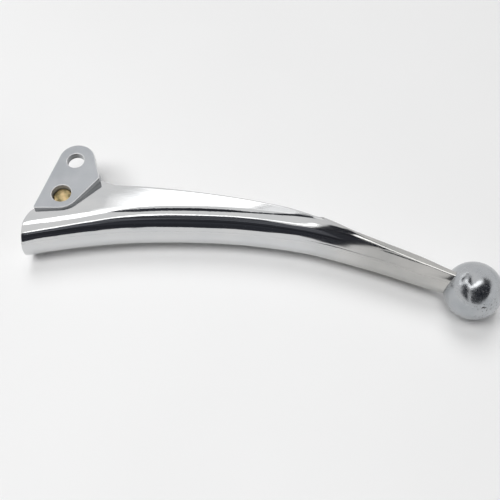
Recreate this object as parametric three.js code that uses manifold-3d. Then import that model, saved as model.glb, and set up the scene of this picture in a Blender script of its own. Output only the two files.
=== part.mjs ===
// Motorcycle clutch lever: an open-backed pressed-steel blade with a round nose, two flat
// ears welded over its flanges, a brass cable barrel that turns between the ears, and a
// steel ball on the blade's tip. Millimetres.
//
// Layout while it is being built: +X runs from the ears to the ball, -Y is the front, where
// the fingers pull, and Z = 0 is the middle plane. The two ears mirror each other about it.
// At the end the group is moved so that the origin is at the bottom centre of its box.
import * as THREE from "three";
import { mergeVertices } from "three/addons/utils/BufferGeometryUtils.js";
import Module from "manifold-3d";

const wasm = await Module();
wasm.setup();

// ---------------------------------------------------------------- driving dimensions
const GAP = 0.3; // left between pieces that touch

const noseRadius = 8.2; // outside of the blade's round nose
const sheet = 2.2; // thickness of the blade's steel
const flangeSlope = THREE.MathUtils.degToRad(8.6); // the flanges close in towards the back

const earThickness = 3;
const earFace = 8.8; // outer face of each ear, from the middle plane
const earEdge = 0.25; // broken edge of the ears and their holes
const pivot = { x: 13.9, y: 26.8, radius: 3.1 }; // hole for the lever's pivot screw
const cable = { x: 12.6, y: 12.3, radius: 3.5 }; // hole for the cable barrel
const cableSlot = 2.4; // width of the slot that lets the cable into the lower ear
const lap = 4.5; // width of the flange strip that each ear is welded to
const tongueRadius = 9.4; // room for the bracket's tongue round the pivot

const barrelRadius = 5;
const journalClearance = 0.08; // between the barrel's journals and the ears' holes
const journalReach = 0.5; // how far a journal stands inside its ear
const nipple = { radius: 2.6, top: 2.5 }; // blind pocket for the cable's nipple

const ball = { x: 160, radius: 10 };
const tang = { halfHeight: 3.2, length: 5.5 }; // the blade's tip inside the ball

// The front of the nose in plan: X along the lever, Y of the front.
const noseFront = [
  [-4, -10.9], [0, -9.6], [14, -5.0], [27, -1.25], [40.5, 1.9], [58.5, 4.8], [76, 6.6],
  [92, 7.0], [104, 6.5], [118, 4.5], [130, 2.4], [142, -0.1], [152, -1.85], [160, -3.0],
];

// Half the girth of the sheet, from the front of the nose round to its free edge. Behind
// X = 110 it holds the round nose and a flange; nearer the ball it is only part of the nose.
const halfGirth = [
  [-4, 28], [23, 28.3], [31, 25.3], [44, 23.3], [63, 20.6], [82, 18.2], [92, 17.1],
  [101, 15.5], [110, 13.6], [118, 11.9], [130, 10.2], [142, 9], [151, 7.7], [160, 7],
];

// Where the free edge has run down on to the nose it is dressed flat, square to Z: X along
// the lever, width of the flat. Nearer the ears the edge is square to the sheet.
const edgeFlat = [[-4, 0], [92, 0], [100, 0], [106, 0.7], [117, 0.9], [129, 1.4], [141, 1.8], [160, 1.5]];
const fullFlat = 0.7; // width at which the dressed flat has wholly replaced the square edge

// ---------------------------------------------------------------- helpers
// A smooth curve through the knots, each [position, value], read at x (cubic Hermite).
function through(knots, x) {
  let i = knots.findIndex(([at]) => at > x) - 1;
  if (i < 0) i = knots.length - 2;
  const slope = (k) => {
    const [x0, y0] = knots[Math.max(k - 1, 0)];
    const [x1, y1] = knots[Math.min(k + 1, knots.length - 1)];
    return (y1 - y0) / (x1 - x0);
  };
  const [xa, ya] = knots[i];
  const [xb, yb] = knots[i + 1];
  const h = xb - xa;
  const t = (x - xa) / h;
  return (
    ya * (1 + 2 * t) * (1 - t) ** 2 +
    slope(i) * h * t * (1 - t) ** 2 +
    yb * t * t * (3 - 2 * t) +
    slope(i + 1) * h * t * t * (t - 1)
  );
}

function solid(geometry) {
  const bare = geometry.index ? geometry.toNonIndexed() : geometry.clone();
  bare.deleteAttribute("normal");
  bare.deleteAttribute("uv");
  const merged = mergeVertices(bare, 1e-4);
  return new wasm.Manifold(
    new wasm.Mesh({
      numProp: 3,
      vertProperties: merged.attributes.position.array,
      triVerts: new Uint32Array(merged.index.array),
    }),
  );
}

function geometryOf(made) {
  const mesh = made.getMesh();
  const geometry = new THREE.BufferGeometry();
  geometry.setAttribute("position", new THREE.BufferAttribute(mesh.vertProperties, 3));
  geometry.setIndex(new THREE.BufferAttribute(mesh.triVerts, 1));
  geometry.computeVertexNormals();
  return geometry;
}

function block(x0, x1, y0, y1, z0, z1) {
  const box = new THREE.BoxGeometry(x1 - x0, y1 - y0, z1 - z0);
  return solid(box.translate((x0 + x1) / 2, (y0 + y1) / 2, (z0 + z1) / 2));
}

function slab(shape, z0, z1) {
  const options = { depth: z1 - z0, bevelEnabled: false, curveSegments: 12 };
  return solid(new THREE.ExtrudeGeometry(shape, options).translate(0, 0, z0));
}

function disc(x, y, radius, z0, z1) {
  const shape = new THREE.Shape();
  shape.absarc(x, y, radius, 0, 2 * Math.PI);
  return slab(shape, z0, z1);
}

function mirrored(make) {
  return make.mirror([0, 0, 1]);
}

// The outline round a ring of circles, given anticlockwise, joined by their tangents.
function hull(circles, grow = 0) {
  const count = circles.length;
  const normals = circles.map((from, i) => {
    const to = circles[(i + 1) % count];
    const along = Math.atan2(to.y - from.y, to.x - from.x);
    const distance = Math.hypot(to.x - from.x, to.y - from.y);
    return along - Math.acos((from.radius - to.radius) / distance);
  });
  const shape = new THREE.Shape();
  circles.forEach((circle, i) => {
    const start = normals[(i + count - 1) % count];
    shape.absarc(circle.x, circle.y, circle.radius + grow, start, normals[i], false);
  });
  return shape;
}

// ---------------------------------------------------------------- the ears
// Each ear narrows from the blade to a round tip about the pivot.
const earCorners = [
  { x: 5.0, y: 5.7, radius: 0.7 },
  { x: 12.3, y: 12.9, radius: 6.7 },
  { x: 23.5, y: 20.9, radius: 0.8 },
  { x: 14.2, y: 27.2, radius: 6.6 },
];

function earPlate() {
  const outline = hull(earCorners);
  for (const hole of [pivot, cable]) {
    const path = new THREE.Path();
    path.absarc(hole.x, hole.y, hole.radius, 0, 2 * Math.PI, true);
    outline.holes.push(path);
  }
  const plate = new THREE.ExtrudeGeometry(outline, {
    depth: earThickness - 2 * earEdge,
    bevelSize: earEdge,
    bevelThickness: earEdge,
    bevelOffset: -earEdge,
    bevelSegments: 1,
    curveSegments: 12,
  });
  return solid(plate.translate(0, 0, earFace - earThickness + earEdge));
}

// The lower ear has a slot from the cable hole to its end, where the cable goes in.
function lowerEarPlate() {
  const half = cableSlot / 2;
  const slot = block(-1, cable.x, cable.y - half, cable.y + half, -earFace - 1, 0);
  return mirrored(earPlate()).subtract(slot);
}

// ---------------------------------------------------------------- the blade
// A point of the sheet's outside, at girth s from the front of the nose, and its normal.
function onSheet(s) {
  const turn = Math.min(Math.abs(s) / noseRadius, Math.PI / 2 + flangeSlope);
  const flange = Math.abs(s) - turn * noseRadius;
  const side = Math.sign(s);
  const normal = [-Math.cos(turn), side * Math.sin(turn)];
  const y = -noseRadius * Math.cos(turn) + flange * Math.cos(flangeSlope);
  const z = noseRadius * Math.sin(turn) - flange * Math.sin(flangeSlope);
  return { y, z: side * z, normal };
}

// The sheet's section at x, as an anticlockwise loop of points in the (Y, Z) plane: down
// along the outside, back up along the inside. A dressed flat moves the inside's end points.
function sheetSection(x, filled) {
  const steps = 30;
  const axisY = through(noseFront, x) + noseRadius;
  const girth = through(halfGirth, x);
  const flat = Math.max(through(edgeFlat, x), 0);
  const outside = [];
  const inside = [];
  for (let i = 0; i <= steps; i += 1) {
    const { y, z, normal } = onSheet(girth * (1 - (2 * i) / steps));
    outside.push([x, axisY + y, z]);
    inside.unshift([x, axisY + y - sheet * normal[0], z - sheet * normal[1]]);
  }
  if (filled) return outside;
  for (const [end, edge] of [[inside[0], outside.at(-1)], [inside.at(-1), outside[0]]]) {
    const share = Math.min(flat / fullFlat, 1);
    end[1] += share * (edge[1] + flat - end[1]);
    end[2] += share * (edge[2] - end[2]);
  }
  return [...outside, ...inside];
}

// A closed skin over the sections, with a flat cap at each end.
function loft(sections) {
  const size = sections[0].length;
  const points = sections.flat(2);
  const faces = [];
  for (let i = 0; i < sections.length - 1; i += 1) {
    for (let j = 0; j < size; j += 1) {
      const a = i * size + j;
      const b = i * size + ((j + 1) % size);
      faces.push(a, b, a + size, b, b + size, a + size);
    }
  }
  const flat = sections[0].map(([, y, z]) => new THREE.Vector2(y, z));
  const last = (sections.length - 1) * size;
  for (const [a, b, c] of THREE.ShapeUtils.triangulateShape(flat, [])) {
    faces.push(a, c, b);
  }
  const end = sections.at(-1).map(([, y, z]) => new THREE.Vector2(y, z));
  for (const [a, b, c] of THREE.ShapeUtils.triangulateShape(end, [])) {
    faces.push(last + a, last + b, last + c);
  }
  const geometry = new THREE.BufferGeometry();
  geometry.setAttribute("position", new THREE.Float32BufferAttribute(points, 3));
  geometry.setIndex(faces);
  return solid(geometry);
}

function sweptSheet(filled) {
  const sections = [];
  for (let x = -3; x <= ball.x - 3; x += 5) sections.push(sheetSection(x, filled));
  return loft(sections);
}

// The left end in plan: the nose is cut square and each flange's corner is rounded off.
function endTrim() {
  const shape = new THREE.Shape();
  shape.moveTo(-10, -20);
  shape.lineTo(3.4, -20);
  shape.lineTo(2.2, -1);
  shape.quadraticCurveTo(2.5, 4.4, 4.8, 5.8);
  shape.lineTo(6.6, 40);
  shape.lineTo(-10, 40);
  return slab(shape, -20, 20);
}

// The flanges end a lap inside the ears' edges, to leave room for the bracket's tongue.
function tongueRoom() {
  const inner = earCorners.map(({ x, y, radius }) => ({ x, y, radius }));
  inner[0].x -= 4;
  inner[0].y += lap;
  inner[1].radius -= lap;
  inner[2].x -= lap;
  inner[2].y += 2;
  inner[3].y += 12;
  const tongue = disc(pivot.x, pivot.y, tongueRadius, -20, 20);
  return slab(hull(inner), -20, 20).add(tongue);
}

function blade() {
  const seat = earFace - earThickness - GAP; // outer face of the flange under an ear
  const pad = slab(hull(earCorners, sheet), seat - sheet, seat + sheet);
  const envelope = sweptSheet(true);
  const pads = pad.add(mirrored(pad)).intersect(envelope);
  const pocket = slab(hull(earCorners, GAP), seat, 20);
  const barrelRoom = disc(cable.x, cable.y, barrelRadius + GAP, -20, 20);
  const inBall = solid(new THREE.SphereGeometry(ball.radius + GAP, 40, 28));
  const tip = ball.x - ball.radius + tang.length;
  const tangBlock = block(0, tip, -20, 20, -tang.halfHeight, tang.halfHeight);
  return sweptSheet(false)
    .add(pads)
    .subtract(pocket)
    .subtract(mirrored(pocket))
    .subtract(tongueRoom())
    .subtract(barrelRoom)
    .subtract(endTrim())
    .subtract(inBall.translate([ball.x, 0, 0]).subtract(tangBlock))
    .subtract(block(tip, ball.x + 20, -20, 20, -20, 20));
}

// ---------------------------------------------------------------- barrel and ball
function cableBarrel() {
  const body = earFace - earThickness - GAP;
  const end = earFace - earThickness + journalReach;
  const journal = cable.radius - journalClearance;
  const profile = [
    [0, -end], [journal, -end], [journal, -body], [barrelRadius, -body],
    [barrelRadius, body], [journal, body], [journal, end], [0, end],
  ].map(([r, z]) => new THREE.Vector2(r, z));
  const turned = solid(new THREE.LatheGeometry(profile, 48).rotateX(Math.PI / 2));
  const half = cableSlot / 2;
  return turned
    .subtract(disc(0, 0, nipple.radius, -20, nipple.top))
    .subtract(block(-20, 0, -half, half, -20, 0));
}

// The ball has a slot on its near side that takes the blade's tang.
function ballEnd() {
  const sphere = solid(new THREE.SphereGeometry(ball.radius, 40, 28).rotateZ(Math.PI / 2));
  const front = through(noseFront, ball.x - ball.radius + tang.length) - GAP;
  const back = through(noseFront, ball.x - ball.radius) + sheet + GAP;
  const rise = noseRadius - Math.sqrt(noseRadius ** 2 - tang.halfHeight ** 2);
  const height = tang.halfHeight + GAP;
  const depth = -ball.radius + tang.length + GAP;
  return sphere.subtract(block(-20, depth, front, back + rise, -height, height));
}

// ---------------------------------------------------------------- the assembly
const chrome = { color: 0xd3d6da, metalness: 1, roughness: 0.08 };
const satin = { color: 0xb9bcc0, metalness: 1, roughness: 0.3 };
const brass = { color: 0xb59a63, metalness: 1, roughness: 0.4 };
const wornSteel = { color: 0xa5a6a8, metalness: 1, roughness: 0.35 };

const lever = new THREE.Group();

function piece(name, made, look) {
  const mesh = new THREE.Mesh(geometryOf(made), new THREE.MeshStandardMaterial(look));
  mesh.name = name;
  lever.add(mesh);
  return mesh;
}

piece("blade", blade(), chrome);
piece("upper_ear", earPlate(), satin);
piece("lower_ear", lowerEarPlate(), satin);
piece("cable_barrel", cableBarrel(), brass).position.set(cable.x, cable.y, 0);
piece("ball_end", ballEnd(), wornSteel).position.set(ball.x, 0, 0);

const bounds = new THREE.Box3().setFromObject(lever);
const centre = bounds.getCenter(new THREE.Vector3());
lever.position.set(-centre.x, -centre.y, -bounds.min.z);

export default lever;
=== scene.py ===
"""Looks of the clutch lever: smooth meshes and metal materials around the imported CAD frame.

The pieces are laid out in the lever's own plan, in millimetres, as in the CAD: X runs from
the ears to the ball, -Y is the finger side, Z = 0 is the middle plane and the ball's centre
is at (BALL_X, 0, 0). lever_point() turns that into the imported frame, in metres.
"""
import math

import bmesh
import bpy
from mathutils import Matrix, Vector


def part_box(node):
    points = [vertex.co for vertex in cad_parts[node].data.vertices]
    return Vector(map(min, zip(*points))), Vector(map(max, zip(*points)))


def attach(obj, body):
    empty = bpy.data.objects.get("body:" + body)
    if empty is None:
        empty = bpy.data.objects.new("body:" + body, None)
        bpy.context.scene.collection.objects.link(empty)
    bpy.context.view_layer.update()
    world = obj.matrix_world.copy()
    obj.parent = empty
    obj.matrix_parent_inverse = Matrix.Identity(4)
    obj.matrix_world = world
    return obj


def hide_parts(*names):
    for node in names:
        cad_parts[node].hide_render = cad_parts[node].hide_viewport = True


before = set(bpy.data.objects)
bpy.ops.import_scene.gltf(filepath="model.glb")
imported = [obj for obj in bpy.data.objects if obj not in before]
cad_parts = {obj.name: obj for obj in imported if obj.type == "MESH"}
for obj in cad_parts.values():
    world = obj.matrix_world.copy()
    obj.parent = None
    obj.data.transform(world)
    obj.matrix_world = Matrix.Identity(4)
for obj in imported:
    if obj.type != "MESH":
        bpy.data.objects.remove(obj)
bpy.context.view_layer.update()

MM = 0.001

# ---------------------------------------------------------------- the blade, mm
NOSE_RADIUS = 8.2
SHEET = 2.2
FLANGE_SLOPE = math.radians(8.6)  # the flanges close in towards the back
NOSE_TURN = math.pi / 2 + FLANGE_SLOPE  # the nose turns this far, up to a flange
EDGE_ROUND = 0.45  # polished-over corner of the blade's free edge
INNER_ROUND = 0.6 * EDGE_ROUND  # the same at the edge's inner corner
INSIDE_STOP = 2.2 * EDGE_ROUND  # the plain inside ends this far short of the free edge
END_ROUND = 0.35  # rounding of the rim at the blade's left end
END_FADE = 14.0  # the left end's shape fades out along the sections over this length
TIP_X = 155.0  # the blade's tip, inside the ball
BLADE_STEP = 0.4  # between two sections along the blade
FACE_POINTS = 109  # points round the outside of a section, and round its inside

# Front of the nose in plan, and half the girth of the sheet, each as (X, value).
NOSE_FRONT = [
    (-4, -10.9), (0, -9.6), (14, -5.0), (27, -1.25), (40.5, 1.9), (58.5, 4.8), (76, 6.6),
    (92, 7.0), (104, 6.5), (118, 4.5), (130, 2.4), (142, -0.1), (152, -1.85), (160, -3.0),
]
HALF_GIRTH = [
    (-4, 28), (23, 28.3), (31, 25.3), (44, 23.3), (63, 20.6), (82, 18.2), (92, 17.1),
    (101, 15.5), (110, 13.6), (118, 11.9), (130, 10.2), (142, 9), (151, 7.7), (160, 7),
]
# Where the free edge has run down on to the nose it is dressed flat: (X, width of the flat).
EDGE_FLAT = [
    (-4, 0), (92, 0), (100, 0), (106, 0.7), (117, 0.9), (129, 1.4), (141, 1.8), (160, 1.5),
]
FULL_FLAT = 0.7  # width at which the dressed flat has wholly replaced the square edge
# The flanges' hidden edge beneath the ears, as (X, Y).
TUCKED_EDGE = [
    (-4, 6.4), (5, 6.6), (9, 7.0), (13, 7.2), (15.5, 7.9), (17.5, 9.8), (19.5, 15.0),
    (21.5, 18.8), (23.5, 21.0), (26, 22.5),
]
TUCKED_TO = 24.2  # the flanges show their whole width beyond this X
# The left end in plan: it slants back a little across the nose, and a curve with these three
# control points rounds the flange's corner.
END_CORNER = [(2.2, -1.0), (2.5, 4.4), (4.8, 5.8)]
END_SLANT = 0.063
END_X = END_CORNER[0][0]

# ---------------------------------------------------------------- the other pieces, mm
EAR_THICKNESS = 3.0
EAR_FACE = 8.8  # outer face of each ear, from the middle plane
EAR_BEVEL = 0.35
EAR_CORNERS = [(5.0, 5.7, 0.7), (12.3, 12.9, 6.7), (23.5, 20.9, 0.8), (14.2, 27.2, 6.6)]
PIVOT = (13.9, 26.8, 3.1)  # X, Y and radius of the pivot screw's hole
CABLE = (12.6, 12.3, 3.5)  # X, Y and radius of the cable barrel's hole
CABLE_SLOT = 2.4

BARREL_RADIUS = 5.0
BARREL_HALF = 5.5
BARREL_CHAMFER = 0.35
JOURNAL_RADIUS = 3.42
JOURNAL_END = 6.3
NIPPLE_RADIUS = 2.6
NIPPLE_TOP = 2.5
# The barrel's cable slot ends just past the axis and the middle plane, so that no face of
# the slot lies in one plane with an edge of the nipple's pocket.
SLOT_PAST_AXIS = 0.37
SLOT_TOP = 0.1

BALL_X = 160.0
BALL_RADIUS = 10.0
BALL_CUTS = 63  # divisions of each side of the cube that is blown up into the ball

PAST_LEFT = -8.0  # cutters begin at this X, left of every piece
PAST_BOTTOM = -12.0  # and at this Z, below every piece

RUBBED_FROM = 98.0  # the chrome is rubbed dull beyond this X
RUBBED_OVER = 28.0  # and the change takes this length

MERGE_DISTANCE = 1e-7  # metres
LEVEL_FACE = 0.99999  # a face is level, and shaded flat, when its normal's Z is at least this

# ---------------------------------------------------------------- places
ball_low, ball_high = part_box("ball_end")
BALL_CENTRE = Vector((
    ball_high.x - BALL_RADIUS * MM,
    (ball_low.y + ball_high.y) / 2,
    (ball_low.z + ball_high.z) / 2,
))
LEVER_ORIGIN = BALL_CENTRE - Vector((BALL_X * MM, 0, 0))


def lever_point(x, y, z):
    """A point of the lever's plan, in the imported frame."""
    return LEVER_ORIGIN + Vector((x, y, z)) * MM


def through(knots, x):
    """A smooth curve through the knots, read at x (cubic Hermite)."""
    i = 0
    while i < len(knots) - 2 and knots[i + 1][0] <= x:
        i += 1

    def slope(k):
        x0, y0 = knots[max(k - 1, 0)]
        x1, y1 = knots[min(k + 1, len(knots) - 1)]
        return (y1 - y0) / (x1 - x0)

    (xa, ya), (xb, yb) = knots[i], knots[i + 1]
    h = xb - xa
    t = (x - xa) / h
    return (
        ya * (1 + 2 * t) * (1 - t) ** 2
        + slope(i) * h * t * (1 - t) ** 2
        + yb * t * t * (3 - 2 * t)
        + slope(i + 1) * h * t * t * (t - 1)
    )


def bend(before, corner, after, t):
    """The point at t, from 0 to 1, of a curve from before to after that bends at corner."""
    return tuple(
        p * (1 - t) ** 2 + 2 * q * t * (1 - t) + r * t * t
        for p, q, r in zip(before, corner, after)
    )


def smooth_step(t):
    """Rises smoothly from 0 to 1 as t does."""
    t = min(max(t, 0.0), 1.0)
    return t * t * (3 - 2 * t)


# ---------------------------------------------------------------- mesh helpers
def link(name, data):
    """A new object in the scene, made from the given mesh, curve, camera or light."""
    obj = bpy.data.objects.new(name, data)
    bpy.context.scene.collection.objects.link(obj)
    return obj


def mesh_from(name, points, faces):
    mesh = bpy.data.meshes.new(name)
    mesh.from_pydata(points, [], faces)
    return mesh


def mesh_of(obj):
    """The object's mesh with its modifiers applied."""
    graph = bpy.context.evaluated_depsgraph_get()
    return bpy.data.meshes.new_from_object(obj.evaluated_get(graph))


def skin(rings, size):
    """Faces between neighbouring rings of points, each a closed loop of the given size."""
    faces = []
    for i in range(rings - 1):
        for j in range(size):
            n = (j + 1) % size
            faces.append((i * size + j, i * size + n, (i + 1) * size + n, (i + 1) * size + j))
    return faces


def finish_mesh(name, mesh, sharp_degrees=35.0):
    """Smooth shading, but level faces are flat and edges sharper than the angle stay crisp."""
    work = bmesh.new()
    work.from_mesh(mesh)
    bmesh.ops.remove_doubles(work, verts=work.verts, dist=MERGE_DISTANCE)
    bmesh.ops.recalc_face_normals(work, faces=work.faces)
    for face in work.faces:
        face.smooth = abs(face.normal.z) < LEVEL_FACE
    limit = math.radians(sharp_degrees)
    for edge in work.edges:
        edge.smooth = edge.calc_face_angle(0.0) < limit
    work.to_mesh(mesh)
    work.free()
    return link(name, mesh)


def cut_away(obj, cutters):
    """Cuts each cutter out of obj, applies the result and drops the cutters."""
    for cutter in cutters:
        cut = obj.modifiers.new("cut", "BOOLEAN")
        cut.operation = "DIFFERENCE"
        cut.solver = "EXACT"
        cut.object = cutter
    mesh = mesh_of(obj)
    for item in [obj, *cutters]:
        bpy.data.objects.remove(item)
    return mesh


def block(low, high):
    """A plain box between two points of the lever's plan, used only to cut."""
    a, b = lever_point(*low), lever_point(*high)
    centre, size = (a + b) / 2, b - a
    mesh = bpy.data.meshes.new("block")
    work = bmesh.new()
    bmesh.ops.create_cube(work, size=1.0)
    for vert in work.verts:
        vert.co = Vector(centre[k] + vert.co[k] * size[k] for k in range(3))
    work.to_mesh(mesh)
    work.free()
    return link("block", mesh)


def turned(name, profile, steps):
    """A solid turned about the cable hole's axis, from an (r, z) profile that ends on it."""
    points = []
    for r, z in profile:
        for k in range(steps):
            a = 2 * math.pi * k / steps
            x = CABLE[0] + r * math.cos(a)
            y = CABLE[1] + r * math.sin(a)
            points.append(lever_point(x, y, z))
    return finish_mesh(name, mesh_from(name, points, skin(len(profile), steps)))


# ---------------------------------------------------------------- the blade
def girth_at(x):
    """Half the girth of the sheet at x, shorter where the flanges are tucked under an ear."""
    girth = through(HALF_GIRTH, x)
    if x >= TUCKED_TO:
        return girth
    axis_y = through(NOSE_FRONT, x) + NOSE_RADIUS
    flange_y = axis_y + NOSE_RADIUS * math.sin(FLANGE_SLOPE)
    flange = (through(TUCKED_EDGE, x) - flange_y) / math.cos(FLANGE_SLOPE)
    return min(girth, NOSE_RADIUS * NOSE_TURN + flange)


def on_sheet(s, inset=0.0):
    """A point (y, z) of the sheet at girth s from the nose's front, inset from its outside."""
    turn = min(abs(s) / NOSE_RADIUS, NOSE_TURN)
    flange = abs(s) - turn * NOSE_RADIUS
    side = 1 if s >= 0 else -1
    y = -(NOSE_RADIUS - inset) * math.cos(turn) + flange * math.cos(FLANGE_SLOPE)
    z = (NOSE_RADIUS - inset) * math.sin(turn) - flange * math.sin(FLANGE_SLOPE)
    return y, side * z


def towards(a, b, distance):
    """The point at the distance from a on the way to b, and never as far as the middle."""
    gap = math.hypot(b[0] - a[0], b[1] - a[1])
    share = min(distance / gap, 0.45) if gap else 0
    return a[0] + (b[0] - a[0]) * share, a[1] + (b[1] - a[1]) * share


def rounded(before, corner, after, steps):
    """A rounded corner, as a row of points."""
    return [bend(before, corner, after, k / steps) for k in range(steps + 1)]


def free_edge(girth, flat):
    """The rounded free edge on the +Z side, from the outside round to the inside."""
    outer = on_sheet(girth)
    inner = on_sheet(girth, SHEET)
    share = min(flat / FULL_FLAT, 1.0)
    inner = (
        inner[0] + share * (outer[0] + flat - inner[0]),
        inner[1] + share * (outer[1] - inner[1]),
    )
    under = on_sheet(girth - 2 * EDGE_ROUND, SHEET)
    first = rounded(on_sheet(girth - EDGE_ROUND), outer, towards(outer, inner, EDGE_ROUND), 5)
    last = rounded(towards(inner, outer, INNER_ROUND), inner, towards(inner, under, INNER_ROUND), 3)
    return first + last


def blade_loop(x):
    """The section at x as (y, z) points: the outside from +Z to -Z, the -Z edge, the inside
    from -Z back to +Z, and the +Z edge."""
    girth = girth_at(x)
    axis_y = through(NOSE_FRONT, x) + NOSE_RADIUS
    reach = girth - EDGE_ROUND
    deep = girth - INSIDE_STOP
    shares = [1 - 2 * i / (FACE_POINTS + 1) for i in range(1, FACE_POINTS + 1)]
    outside = [on_sheet(reach * share) for share in shares]
    inside = [on_sheet(-deep * share, SHEET) for share in shares]
    high_edge = free_edge(girth, max(through(EDGE_FLAT, x), 0.0))
    low_edge = [(y, -z) for y, z in high_edge]
    loop = outside + low_edge + inside + high_edge[::-1]
    return [(axis_y + y, z) for y, z in loop]


def end_offset(y):
    """How far the blade's left end stands back in X at plan position y."""
    (_, y0), (_, y1), (_, y2) = END_CORNER
    if y < y0:
        return END_SLANT * (y0 - y)
    # The corner's curve is a quadratic in t. This is its t at y.
    a = y0 - 2 * y1 + y2
    b = 2 * (y1 - y0)
    c = y0 - min(y, y2)
    t = (-b + math.sqrt(max(b * b - 4 * a * c, 0))) / (2 * a)
    return bend(*END_CORNER, t)[0] - END_X


def fill_end(work, ring):
    """Closes the sheet across an end section, whose points are in blade_loop's order."""
    edge_points = len(ring) // 2 - FACE_POINTS
    half = FACE_POINTS + edge_points
    outside, low_edge = ring[:FACE_POINTS], ring[FACE_POINTS:half]
    inside, high_edge = ring[half:half + FACE_POINTS], ring[half + FACE_POINTS:]
    for j in range(FACE_POINTS - 1):
        k = FACE_POINTS - 1 - j
        work.faces.new((outside[j], outside[j + 1], inside[k - 1], inside[k]))
    work.faces.new([outside[-1], *low_edge, inside[0]])
    work.faces.new([inside[-1], *high_edge, outside[0]])


def close_ends(mesh, rings, size):
    """Fills the two ends of the sheet and rounds the rim of the left one."""
    work = bmesh.new()
    work.from_mesh(mesh)
    work.verts.ensure_lookup_table()
    left = [work.verts[j] for j in range(size)]
    right = [work.verts[(rings - 1) * size + j] for j in range(size)]
    fill_end(work, left)
    fill_end(work, right)
    rim = [work.edges.get((left[j], left[(j + 1) % size])) for j in range(size)]
    bmesh.ops.recalc_face_normals(work, faces=work.faces)
    bmesh.ops.bevel(
        work, geom=rim, offset=END_ROUND * MM, offset_type="OFFSET", segments=3,
        profile=0.5, affect="EDGES", clamp_overlap=True,
    )
    work.to_mesh(mesh)
    work.free()


def blade_mesh():
    """The pressed sheet, swept from its left end to the tip inside the ball."""
    rings = int((TIP_X - END_X) / BLADE_STEP) + 1
    points = []
    for i in range(rings):
        x = END_X + BLADE_STEP * i
        loop = blade_loop(x)
        fade = 1 - smooth_step((x - END_X) / END_FADE)
        points += [lever_point(x + end_offset(y) * fade, y, z) for y, z in loop]
    size = len(loop)
    mesh = mesh_from("blade", points, skin(rings, size))
    close_ends(mesh, rings, size)
    return mesh


# ---------------------------------------------------------------- the ears
def hull(circles, steps=40):
    """The outline round a ring of (x, y, radius) circles, joined by their tangents."""
    normals = []
    for i, (x, y, r) in enumerate(circles):
        nx, ny, nr = circles[(i + 1) % len(circles)]
        along = math.atan2(ny - y, nx - x)
        normals.append(along - math.acos((r - nr) / math.hypot(nx - x, ny - y)))
    outline = []
    for i, (x, y, r) in enumerate(circles):
        start, end = normals[i - 1], normals[i]
        turn = (end - start) % (2 * math.pi)
        for k in range(steps + 1):
            a = start + turn * k / steps
            outline.append((x + r * math.cos(a), y + r * math.sin(a)))
    return outline


def hole(x, y, radius, steps=96):
    """A round hole's outline, clockwise."""
    angles = [-2 * math.pi * k / steps for k in range(steps)]
    return [(x + radius * math.cos(a), y + radius * math.sin(a)) for a in angles]


def ear_curve():
    """The ear's outline and its two holes, filled and thickened, with rounded rims."""
    curve = bpy.data.curves.new("ear", "CURVE")
    curve.dimensions = "2D"
    curve.fill_mode = "BOTH"
    curve.extrude = (EAR_THICKNESS / 2 - EAR_BEVEL) * MM
    curve.bevel_depth = EAR_BEVEL * MM
    curve.bevel_resolution = 3
    curve.offset = -EAR_BEVEL * MM
    for outline in (hull(EAR_CORNERS), hole(*PIVOT), hole(*CABLE)):
        spline = curve.splines.new("POLY")
        spline.points.add(len(outline) - 1)
        for point, (x, y) in zip(spline.points, outline):
            place = lever_point(x, y, 0)
            point.co = (place.x, place.y, 0, 1)
        spline.use_cyclic_u = True
    return curve


def ear_mesh(side):
    """A plate with softly rounded rims, standing on the +Z side (1) or the -Z side (-1)."""
    plate = link("ear", ear_curve())
    middle = lever_point(0, 0, side * (EAR_FACE - EAR_THICKNESS / 2)).z
    bpy.context.view_layer.update()
    mesh = mesh_of(plate)
    mesh.transform(Matrix.Translation((0, 0, middle)))
    bpy.data.objects.remove(plate)
    return mesh


def lower_ear_mesh():
    """The lower plate, with the slot that lets the cable into its hole."""
    half = CABLE_SLOT / 2
    slot = block((PAST_LEFT, CABLE[1] - half, PAST_BOTTOM), (CABLE[0], CABLE[1] + half, 0))
    return cut_away(link("plate", ear_mesh(-1)), [slot])


# ---------------------------------------------------------------- barrel and ball
def barrel_mesh():
    """A barrel with a journal at each end, a pocket for the nipple and a slot for the cable."""
    upper_half = [
        (BARREL_RADIUS, BARREL_HALF - BARREL_CHAMFER),
        (BARREL_RADIUS - BARREL_CHAMFER, BARREL_HALF),
        (JOURNAL_RADIUS, BARREL_HALF),
        (JOURNAL_RADIUS, JOURNAL_END - BARREL_CHAMFER),
        (JOURNAL_RADIUS - BARREL_CHAMFER, JOURNAL_END),
        (0, JOURNAL_END),
    ]
    lower_half = [(r, -z) for r, z in reversed(upper_half)]
    pocket_profile = [
        (0, PAST_BOTTOM), (NIPPLE_RADIUS, PAST_BOTTOM),
        (NIPPLE_RADIUS, NIPPLE_TOP), (0, NIPPLE_TOP),
    ]
    half = CABLE_SLOT / 2
    slot = block(
        (PAST_LEFT, CABLE[1] - half, PAST_BOTTOM),
        (CABLE[0] + SLOT_PAST_AXIS, CABLE[1] + half, SLOT_TOP),
    )
    body = turned("body", lower_half + upper_half, steps=96)
    pocket = turned("pocket", pocket_profile, steps=64)
    return cut_away(body, [slot, pocket])


def on_sphere(a, b, c):
    """The coordinate a of a cube's surface point (a, b, c), moved out to the unit sphere."""
    return a * math.sqrt(max(1 - b * b / 2 - c * c / 2 + b * b * c * c / 3, 0))


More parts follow.
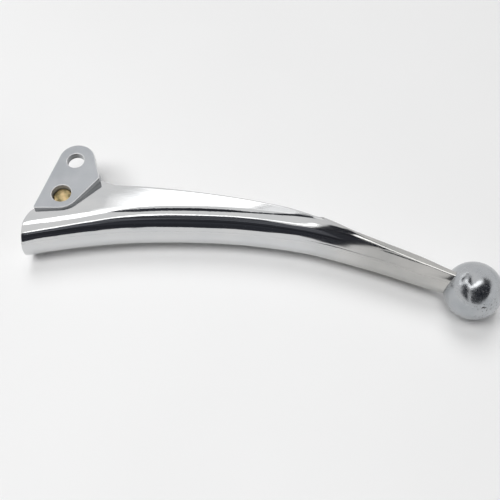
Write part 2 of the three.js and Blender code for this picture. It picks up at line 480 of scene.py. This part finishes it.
def ball_mesh():
    """A finely divided sphere: a cube blown up, so that no pole shows."""
    work = bmesh.new()
    bmesh.ops.create_cube(work, size=2.0)
    bmesh.ops.subdivide_edges(work, edges=work.edges, cuts=BALL_CUTS, use_grid_fill=True)
    for vert in work.verts:
        x, y, z = vert.co
        outward = Vector((on_sphere(x, y, z), on_sphere(y, z, x), on_sphere(z, x, y)))
        vert.co = BALL_CENTRE + outward.normalized() * BALL_RADIUS * MM
    mesh = bpy.data.meshes.new("ball")
    work.to_mesh(mesh)
    work.free()
    return mesh


# ---------------------------------------------------------------- materials
class Nodes:
    """A short way to write a material's nodes."""

    def __init__(self, name):
        self.material = bpy.data.materials.new(name)
        self.material.use_nodes = True
        self.tree = self.material.node_tree
        self.shader = self.tree.nodes["Principled BSDF"]
        coordinates = self.tree.nodes.new("ShaderNodeTexCoord")
        self.place = coordinates.outputs["Object"]
        self.normal = coordinates.outputs["Normal"]

    def feed(self, socket, value):
        """Links another node's output to the socket, or sets the socket to a plain value."""
        if isinstance(value, bpy.types.NodeSocket):
            self.tree.links.new(value, socket)
        else:
            socket.default_value = value

    def add(self, kind, **inputs):
        """A new node, with its inputs given by name."""
        node = self.tree.nodes.new("ShaderNode" + kind)
        for name, value in inputs.items():
            self.feed(node.inputs[name], value)
        return node

    def noise(self, scale, detail=3.0, stretch=(1, 1, 1), roughness=0.5):
        place = self.add("Mapping", Vector=self.place, Scale=stretch).outputs[0]
        node = self.add("TexNoise", Vector=place, Scale=scale, Detail=detail, Roughness=roughness)
        return node.outputs["Fac"]

    def ramp(self, value, stops):
        """Colours along a value from 0 to 1, given as two or more (position, colour) stops."""
        node = self.add("ValToRGB", Fac=value)
        elements = node.color_ramp.elements
        while len(elements) < len(stops):
            elements.new(0.5)
        for element, (position, color) in zip(elements, stops):
            element.position = position
            element.color = (*color, 1)
        return node.outputs["Color"]

    def clouded(self, value, dark, light):
        """A surface's colour, from dark to light as the value drifts about its middle."""
        return self.ramp(value, [(0.3, dark), (0.7, light)])

    def mix(self, share, first, second):
        """The first colour where the share is 0, and the second where it is 1."""
        node = self.tree.nodes.new("ShaderNodeMix")
        node.data_type = "RGBA"
        color_sockets = [i for i in node.inputs if i.type == "RGBA"]
        self.feed(node.inputs[0], share)
        self.feed(color_sockets[0], first)
        self.feed(color_sockets[1], second)
        return next(o for o in node.outputs if o.type == "RGBA")

    def span(self, value, source, target=(0, 1)):
        """Maps the value from the source range to the target range, and clamps it."""
        limits = {
            "From Min": source[0], "From Max": source[1],
            "To Min": target[0], "To Max": target[1],
        }
        return self.add("MapRange", Value=value, **limits).outputs["Result"]

    def math(self, operation, a, b):
        node = self.tree.nodes.new("ShaderNodeMath")
        node.operation = operation
        self.feed(node.inputs[0], a)
        self.feed(node.inputs[1], b)
        return node.outputs[0]

    def bump(self, height, strength, distance, normal=None):
        """Bumps that follow a pattern of heights, up to the distance in metres. They lie over
        another bump where its normal is given."""
        node = self.add("Bump", Height=height, Strength=strength, Distance=distance)
        if normal is not None:
            self.feed(node.inputs["Normal"], normal)
        return node.outputs["Normal"]

    def shade(self, socket, output):
        """Links an output to one of the shader's sockets."""
        self.feed(self.shader.inputs[socket], output)


def chrome_material():
    """Mirror chrome, rubbed dull and warm along the stretch where the fingers lie."""
    n = Nodes("bright_chrome")
    n.shader.inputs["Metallic"].default_value = 1.0
    cloud = n.noise(scale=60, detail=4, stretch=(1, 2, 2))
    fresh = n.clouded(cloud, dark=(0.62, 0.63, 0.64), light=(0.68, 0.68, 0.68))
    rubbed = n.clouded(cloud, dark=(0.44, 0.44, 0.43), light=(0.55, 0.54, 0.52))
    along = n.add("SeparateXYZ", Vector=n.place).outputs["X"]
    start = lever_point(RUBBED_FROM, 0, 0).x
    worn = n.span(along, (start, start + RUBBED_OVER * MM))
    n.shade("Base Color", n.mix(worn, fresh, rubbed))
    smears = n.noise(scale=420, detail=6, stretch=(0.25, 1, 1), roughness=0.7)
    gloss = n.span(smears, (0.4, 0.75), (0.03, 0.09))
    n.shade("Roughness", n.math("ADD", gloss, n.math("MULTIPLY", worn, 0.07)))
    ripples = n.noise(scale=90, detail=2, stretch=(0.5, 1, 1))
    scratches = n.noise(scale=2600, detail=2, stretch=(0.04, 1, 1), roughness=0.6)
    uneven = n.bump(ripples, strength=0.16, distance=0.0004)
    n.shade("Normal", n.bump(scratches, strength=0.06, distance=0.00006, normal=uneven))
    return n.material


def ear_material():
    """Dull grey plate with a fine grain, its rounded rims painted near white as a painted
    highlight and its side walls painted lighter than its faces as painted light."""
    n = Nodes("satin_plate")
    cloud = n.noise(scale=110, detail=5)
    dull = n.clouded(cloud, dark=(0.34, 0.355, 0.375), light=(0.40, 0.412, 0.43))
    # painted highlight: near-white colour for the rounded rims
    rim_painted_highlight = n.clouded(cloud, dark=(0.80, 0.81, 0.82), light=(0.90, 0.90, 0.90))
    # painted light: lighter colour for the side walls
    wall_painted_light = n.clouded(cloud, dark=(0.54, 0.55, 0.56), light=(0.62, 0.63, 0.64))
    level = n.math("ABSOLUTE", n.add("SeparateXYZ", Vector=n.normal).outputs["Z"], 0)
    # the rims, picked by their normal, where the painted highlight goes
    rim = n.math("MULTIPLY", n.span(level, (0.97, 0.9)), n.span(level, (0.1, 0.3)))
    # the side walls, picked by their normal, where the painted light goes
    wall = n.span(level, (0.1, 0))
    n.shade("Base Color", n.mix(rim, n.mix(wall, dull, wall_painted_light), rim_painted_highlight))
    metal = n.span(rim, (0, 1), (0.45, 0.3))
    n.shade("Metallic", n.math("SUBTRACT", metal, n.math("MULTIPLY", wall, 0.3)))
    smears = n.noise(scale=700, detail=4, stretch=(1, 0.15, 1))
    matt = n.span(smears, (0.3, 0.7), (0.34, 0.46))
    n.shade("Roughness", n.math("SUBTRACT", matt, n.math("MULTIPLY", rim, 0.22)))
    grain = n.noise(scale=3000, detail=3, stretch=(1, 0.08, 1))
    n.shade("Normal", n.bump(grain, strength=0.12, distance=0.00005))
    return n.material


def brass_material():
    """Turned brass, stained brown and rough."""
    n = Nodes("dull_brass")
    n.shader.inputs["Metallic"].default_value = 0.7
    stain = n.noise(scale=420, detail=5)
    brown, tarnished, bare = (0.22, 0.18, 0.09), (0.46, 0.36, 0.18), (0.66, 0.50, 0.27)
    n.shade("Base Color", n.ramp(stain, [(0.38, brown), (0.5, tarnished), (0.62, bare)]))
    n.shade("Roughness", n.span(n.noise(scale=900, detail=4), (0.3, 0.7), (0.35, 0.6)))
    n.shade("Normal", n.bump(n.noise(scale=1400, detail=5), strength=0.45, distance=0.0001))
    return n.material


def ball_material():
    """Chrome gone dull, with fine pits that gather in patches."""
    n = Nodes("worn_chrome")
    n.shader.inputs["Metallic"].default_value = 1.0
    cloud = n.noise(scale=130, detail=6, roughness=0.6)
    chrome = n.clouded(cloud, dark=(0.40, 0.42, 0.44), light=(0.50, 0.51, 0.52))
    dirt = n.clouded(cloud, dark=(0.10, 0.09, 0.08), light=(0.16, 0.15, 0.13))
    patches = n.span(n.noise(scale=85, detail=2), (0.48, 0.68))
    specks = n.span(n.noise(scale=1500), (0.60, 0.68))
    pits = n.math("MULTIPLY", patches, specks)
    n.shade("Base Color", n.mix(pits, chrome, dirt))
    haze = n.span(n.noise(scale=240, detail=6), (0.35, 0.7), (0.15, 0.27))
    n.shade("Roughness", n.math("ADD", haze, pits))
    uneven = n.bump(n.noise(scale=260), strength=0.22, distance=0.0003)
    pores = n.noise(scale=1800, detail=6)
    n.shade("Normal", n.bump(pores, strength=0.12, distance=0.0001, normal=uneven))
    return n.material


# ---------------------------------------------------------------- the pieces
def dress(piece, material, body, nodes):
    """Gives a piece its material, the body that it rides on and the CAD nodes it stands for."""
    piece.data.materials.clear()
    piece.data.materials.append(material)
    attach(piece, body)
    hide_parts(*nodes)


def add_pieces():
    satin = ear_material()
    blade = finish_mesh("blade_shell", blade_mesh())
    dress(blade, chrome_material(), "lever", ["blade"])
    upper_ear = finish_mesh("upper_ear_plate", ear_mesh(1))
    dress(upper_ear, satin, "lever", ["upper_ear"])
    lower_ear = finish_mesh("lower_ear_plate", lower_ear_mesh())
    dress(lower_ear, satin, "lever", ["lower_ear"])
    barrel = finish_mesh("swivel_barrel", barrel_mesh())
    dress(barrel, brass_material(), "barrel", ["cable_barrel"])
    ball = finish_mesh("ball_knob", ball_mesh(), 60)
    dress(ball, ball_material(), "lever", ["ball_end"])


# ---------------------------------------------------------------- the stage
# The lever lies on its lower ear and its ball. The stage is laid out in millimetres on the
# floor: x to the camera's right, y away from the camera and z up. Its zero is the point of
# the floor in the middle of the camera's view.
LEVER_ON_FLOOR = (-81.548, 3.327)  # where the lever's plan origin stands
LEVER_TURN = math.radians(-8.871)
REST_X = 14.0  # the lower ear touches the floor here
TILT = math.atan((BALL_RADIUS - EAR_FACE) / (BALL_X - REST_X))
CAMERA_PITCH = math.radians(61.3)
CAMERA_DISTANCE = 276.22
LENS, SENSOR = 54.0, 36.0
FLOOR_HALF = 4000.0

lever_to_floor = (
    Matrix.Translation((*LEVER_ON_FLOOR, EAR_FACE - REST_X * math.tan(TILT)))
    @ Matrix.Rotation(LEVER_TURN, 4, "Z")
    @ Matrix.Rotation(-TILT, 4, "Y")
)
stage_matrix = (
    Matrix.Translation(LEVER_ORIGIN) @ Matrix.Scale(MM, 4) @ lever_to_floor.inverted()
)


def add_camera():
    data = bpy.data.cameras.new("camera")
    data.lens = LENS
    data.sensor_width = SENSOR
    data.clip_start = 0.005
    data.clip_end = 20
    camera = link("camera", data)
    back = (0, -CAMERA_DISTANCE * math.cos(CAMERA_PITCH), CAMERA_DISTANCE * math.sin(CAMERA_PITCH))
    pose = Matrix.Translation(back) @ Matrix.Rotation(math.pi / 2 - CAMERA_PITCH, 4, "X")
    place, turn, _ = (stage_matrix @ pose).decompose()
    camera.matrix_world = Matrix.Translation(place) @ turn.to_matrix().to_4x4()
    bpy.context.scene.camera = camera


def stage_mesh(name, points, material):
    """One flat face of the stage, which isn't part of the object."""
    mesh = mesh_from(name, [stage_matrix @ Vector(p) for p in points], [range(len(points))])
    mesh.materials.append(material)
    obj = link(name, mesh)
    return obj


def floor_material():
    n = Nodes("pale_floor")
    cloud = n.noise(scale=6)
    n.shade("Base Color", n.clouded(cloud, dark=(0.86, 0.86, 0.86), light=(0.89, 0.89, 0.89)))
    n.shader.inputs["Roughness"].default_value = 0.6
    n.shader.inputs["Specular IOR Level"].default_value = 0.2
    return n.material


def add_floor():
    half = FLOOR_HALF
    corners = [(-half, -half, 0), (half, -half, 0), (half, half, 0), (-half, half, 0)]
    stage_mesh("floor", corners, floor_material())


# ---------------------------------------------------------------- cards for the reflections
CARD_HEIGHT = 100.0  # the blade's reflector cards hang this far above the floor
BALL_CARD = 60.0  # and the ball's hang here
BALL_LEFT_CARD = 35.0

# Edges of the cards over the floor, as (x, y) in mm. They run along the lever.
DARK_BACK_EDGE = [
    (-90, -60), (-81, -55), (-71, -38), (-61, -17), (-51, -7), (-40, -2), (-16, -2), (-4, -5),
    (8, -18), (14, -14),
]
DARK_RIGHT = [(35, 42), (47, 40), (47, -40), (28, -42), (3, -91), (-30, -174), (-47, -215)]
DARK_LEFT = [(-62, -185), (-80, -290), (-93, -420), (-130, -420), (-130, -75)]
DARK_STRIP = 34  # width of the less dark strip along the dark card's back edge
BRIGHT_LINE = [
    (-90, -60), (-81, -55), (-71, -38), (-61, -17), (-51, -7), (-40, -2), (-16, -2), (-4, -3),
    (6, -5), (13, -7), (19, 2), (25, 24), (23, 25), (17, 8), (11, -1), (4, 1), (-5, 3),
    (-16, 3), (-28, 4), (-40, 7), (-51, 5), (-62, -11), (-72, -31), (-82, -46), (-92, -53),
]
THIN_DARK = [
    (-70, 42), (-53, 28), (-40, 34), (-27, 34), (-13, 34), (0, 41), (12, 52), (23, 66),
    (36, 80), (38, 98), (28, 99), (20, 86), (11, 66), (0, 54), (-13, 62), (-27, 67),
    (-40, 64), (-55, 60), (-68, 50),
]
BRIGHT_BACK = [
    (-104, 12), (-87, 4), (-76, 11), (-67, 40), (-59, 88), (-44, 102), (0, 103), (24, 112),
    (-20, 119), (-58, 115), (-67, 107), (-72, 98), (-80, 60), (-92, 44), (-104, 44),
]
RIGHT_GLOW = [(0, 102), (24, 99), (44, 94), (50, 106), (24, 118)]
BALL_DARK = [
    (67, -47), (66, -41), (75, -33), (92, -22), (99, 0), (135, 0), (140, -110), (110, -230),
    (22, -230), (37, -148), (59, -74),
]
BALL_DARK_LEFT = [(66, -33), (74, -34), (72, -48), (66, -81), (52, -81), (62, -46)]
BALL_BRIGHT = [
    (35, 1), (44, -23), (52, -41), (95, -19), (89, -9), (62, -26), (55, -31), (48, -18), (39, 6),
]
CORNER_DARK = [
    (38, -30), (52, -42), (66, -36), (69, -41), (63, -49), (54, -48), (44, -43), (36, -36),
]

# The bright back card ends softly: each of these weaker glows is a step larger all round.
GLOWS = [(1.7, 1.9), (1.4, 1.5), (1.2, 1.25), (1.02, 1.08)]
GLOW_STEP = 3.5
BACK_NEAR_TO = 84  # the back card's points with a smaller y stay in place
BACK_FAR_FROM = 106  # those with a larger y are on its far edge
BACK_LEFT_TO = -58  # its left end lies left of this x
BACK_RIGHT_FROM = 8  # and its right end lies right of this one


def pushed_out(x, y, shift):
    """Moves a point of the back card's ends or far edge outwards. Its near edge stays."""
    if y < BACK_NEAR_TO:
        return x, y
    if y > BACK_FAR_FROM:
        y += shift
    if x < BACK_LEFT_TO:
        x -= shift
    elif x > BACK_RIGHT_FROM:
        x += shift
    return x, y


def glow_material(name, color, weak, strong):
    """A card's glow: uneven, in long streaks that run along the lever."""
    n = Nodes(name)
    n.shader.inputs["Base Color"].default_value = (0, 0, 0, 1)
    n.shader.inputs["Specular IOR Level"].default_value = 0
    n.shader.inputs["Emission Color"].default_value = (*color, 1)
    streaks = n.noise(scale=70, stretch=(0.12, 1, 1))
    n.shade("Emission Strength", n.span(streaks, (0.35, 0.65), (weak, strong)))
    return n.material


def hang_card(name, outline, height, material):
    """A flat card that only shows in reflections, and casts no shadow."""
    obj = stage_mesh(name, [(x, y, height) for x, y in outline], material)
    obj.visible_camera = False
    obj.visible_diffuse = False
    obj.visible_shadow = False
    obj.visible_transmission = False


def hang_cards():
    """Where two cards overlap, the one that hangs lower hides the other in the chrome."""
    black = glow_material("black_card", (0.9, 0.95, 1.15), 0.02, 0.05)
    dark_grey = glow_material("dark_grey_card", (0.95, 0.98, 1.1), 0.05, 0.16)
    bright = glow_material("bright_card", (1, 1, 1), 2.0, 2.6)
    soft = glow_material("right_glow", (1, 1, 1), 1.0, 1.3)
    strip = [(x, y - DARK_STRIP) for x, y in reversed(DARK_BACK_EDGE)]
    hang_card("dark_front", DARK_BACK_EDGE + DARK_RIGHT + DARK_LEFT, CARD_HEIGHT, black)
    hang_card("dark_front_upper", DARK_BACK_EDGE + strip, CARD_HEIGHT - 1, dark_grey)
    hang_card("dark_thin", THIN_DARK, CARD_HEIGHT, black)
    hang_card("bright_line", BRIGHT_LINE, CARD_HEIGHT + 1, bright)
    hang_card("bright_back", BRIGHT_BACK, CARD_HEIGHT, bright)
    hang_card("back_glow_right", RIGHT_GLOW, CARD_HEIGHT + 6, soft)
    for i, (weak, strong) in enumerate(GLOWS, 1):
        outline = [pushed_out(x, y, GLOW_STEP * i) for x, y in BRIGHT_BACK]
        glow = glow_material(f"glow_{i}", (1, 1, 1), weak, strong)
        hang_card(f"back_glow_{i}", outline, CARD_HEIGHT + i, glow)
    hang_card("ball_dark", BALL_DARK, BALL_CARD, black)
    hang_card("ball_dark_left", BALL_DARK_LEFT, BALL_LEFT_CARD, black)
    hang_card("corner_dark", CORNER_DARK, BALL_CARD, black)
    hang_card("ball_bright", BALL_BRIGHT, BALL_CARD + 1, bright)


# ---------------------------------------------------------------- lights
WORLD_STRENGTH = 0.86
# Name, kind, place over the floor, energy, and spread: the disc's diameter in mm, or the
# sun's apparent diameter in degrees.
LIGHTS = [
    ("left_key", "AREA", (-480, -120, 820), 3.0, 420),
    ("high_sun", "SUN", (-60, -150, 800), 1.1, 28),
    ("back_sun", "SUN", (-60, 400, 700), 1.2, 34),
    ("low_sun", "SUN", (700, -350, 210), 0.5, 30),
]


def add_light(name, kind, place, energy, spread):
    """A soft light aimed at the stage's zero, and kept out of reflections."""
    data = bpy.data.lights.new(name, kind)
    data.energy = energy
    if kind == "AREA":
        data.shape = "DISK"
        data.size = spread * MM
    else:
        data.angle = math.radians(spread)
    light = link(name, data)
    start = stage_matrix @ Vector(place)
    aim = (stage_matrix @ Vector((0, 0, 0))) - start
    turn = aim.to_track_quat("-Z", "Y").to_matrix().to_4x4()
    light.matrix_world = Matrix.Translation(start) @ turn
    light.visible_glossy = False


def add_world():
    """A white surround that shows in the chrome, and adds no light to dull surfaces."""
    world = bpy.data.worlds.new("studio")
    bpy.context.scene.world = world
    world.use_nodes = True
    background = world.node_tree.nodes["Background"]
    background.inputs["Color"].default_value = (1, 1, 1, 1)
    background.inputs["Strength"].default_value = WORLD_STRENGTH
    world.cycles_visibility.diffuse = False


add_pieces()
add_camera()
add_floor()
hang_cards()
add_world()
for light in LIGHTS:
    add_light(*light)
bpy.context.scene.view_settings.view_transform = "Standard"
